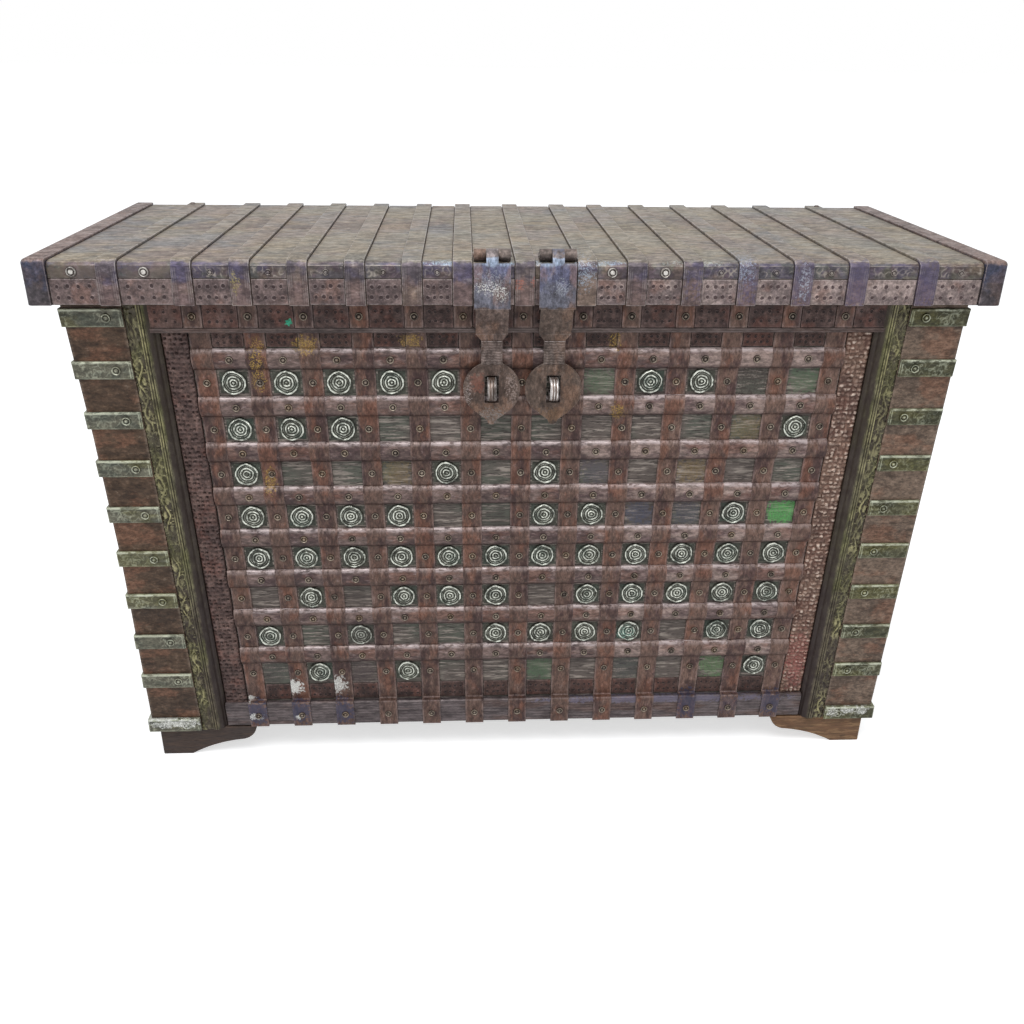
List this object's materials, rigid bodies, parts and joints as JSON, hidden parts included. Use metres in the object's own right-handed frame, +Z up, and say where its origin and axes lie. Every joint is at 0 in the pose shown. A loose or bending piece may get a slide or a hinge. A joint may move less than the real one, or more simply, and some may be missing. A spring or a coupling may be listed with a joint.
{
  "type": "damchiya chest",
  "caption": "Flared plank dowry chest on bracket feet, bound with an iron strap lattice, with carved pilasters, rosettes, a rear-hinged lid and hinged hasps over staples.",
  "frame": {"origin": "on the floor, under the middle of the chest's overall box", "axes": "+Z up, +X to the right along the front, +Y from the front to the back"},
  "size_m": [1.5, 0.6004, 0.9543],
  "materials": {
    "board_wood": "old planks, dark and greyed",
    "stile_iron": "rusty iron sheet",
    "pilaster_brass": "embossed brass, tarnished grey green, worn bright on the ridges",
    "rail_iron": "rusty purple brown iron",
    "pierced_iron": "pierced sheet, rusty purple brown",
    "lattice_iron": "rusty strap, worn pale along the crest",
    "rosette_brass": "embossed brass, dark with worn yellow rings",
    "corner_iron": "embossed strap, grey green",
    "foot_wood_old": "dark old wood",
    "foot_wood_new": "lighter replaced wood",
    "lid_wood": "old planks",
    "lid_iron": "weathered iron sheet, streaked grey brown",
    "hasp_iron": "forged iron, worn",
    "hinge_iron": "forged iron"
  },
  "bodies": {
    "chest": {"front_wall": "board_wood", "back_wall": "board_wood", "side_wall_left": "board_wood", "side_wall_right": "board_wood", "floor_board": "board_wood", "stile_left": "stile_iron", "stile_right": "stile_iron", "pilaster_left": "pilaster_brass", "pilaster_right": "pilaster_brass", "top_rail": "rail_iron", "bottom_rail": "rail_iron", "pierced_border_left": "pierced_iron", "pierced_border_right": "pierced_iron", "pierced_plates": "pierced_iron", "upright_strap_01": "lattice_iron", "upright_strap_02": "lattice_iron", "upright_strap_03": "lattice_iron", "upright_strap_04": "lattice_iron", "upright_strap_05": "lattice_iron", "upright_strap_06": "lattice_iron", "upright_strap_07": "lattice_iron", "upright_strap_08": "lattice_iron", "upright_strap_09": "lattice_iron", "upright_strap_10": "lattice_iron", "upright_strap_11": "lattice_iron", "upright_strap_12": "lattice_iron", "upright_strap_13": "lattice_iron", "cross_strap_1": "lattice_iron", "cross_strap_2": "lattice_iron", "cross_strap_3": "lattice_iron", "cross_strap_4": "lattice_iron", "cross_strap_5": "lattice_iron", "cross_strap_6": "lattice_iron", "cross_strap_7": "lattice_iron", "cross_strap_8": "lattice_iron", "rail_straps": "lattice_iron", "rosettes": "rosette_brass", "corner_straps_left": "corner_iron", "corner_straps_right": "corner_iron", "foot_front_left": "foot_wood_old", "foot_back_left": "foot_wood_old", "foot_back_right": "foot_wood_old", "foot_front_right": "foot_wood_new", "staples": "hasp_iron", "rear_hinge_chest_leaves": "hinge_iron"},
    "lid": {"lid_boards": "lid_wood", "lid_rim_front": "lid_wood", "lid_rim_back": "lid_wood", "lid_rim_left": "lid_wood", "lid_rim_right": "lid_wood", "lid_sheets": "lid_iron", "lid_straps": "lid_iron", "lid_rim_plates": "pierced_iron", "lid_edge_iron_left": "lid_iron", "lid_edge_iron_right": "lid_iron", "hasp_hinge_leaves": "hasp_iron", "rear_hinge_lid_leaves": "hinge_iron", "hinge_pins": "hinge_iron"},
    "hasp_left": {"hasp_left": "hasp_iron"},
    "hasp_right": {"hasp_right": "hasp_iron"}
  },
  "joints": [
    {"name": "lid_hinge", "type": "hinge", "parent": "chest", "child": "lid", "pos_m": [0, 0.29325, 0.86975], "axis": [-1, 0, 0], "range_deg": [0, 95]},
    {"name": "hasp_left_hinge", "type": "hinge", "parent": "lid", "child": "hasp_left", "pos_m": [-0.05, -0.28025, 0.9453], "axis": [-1, 0, 0], "range_deg": [0, 180]},
    {"name": "hasp_right_hinge", "type": "hinge", "parent": "lid", "child": "hasp_right", "pos_m": [0.05, -0.28025, 0.9453], "axis": [-1, 0, 0], "range_deg": [0, 180]}
  ]
}
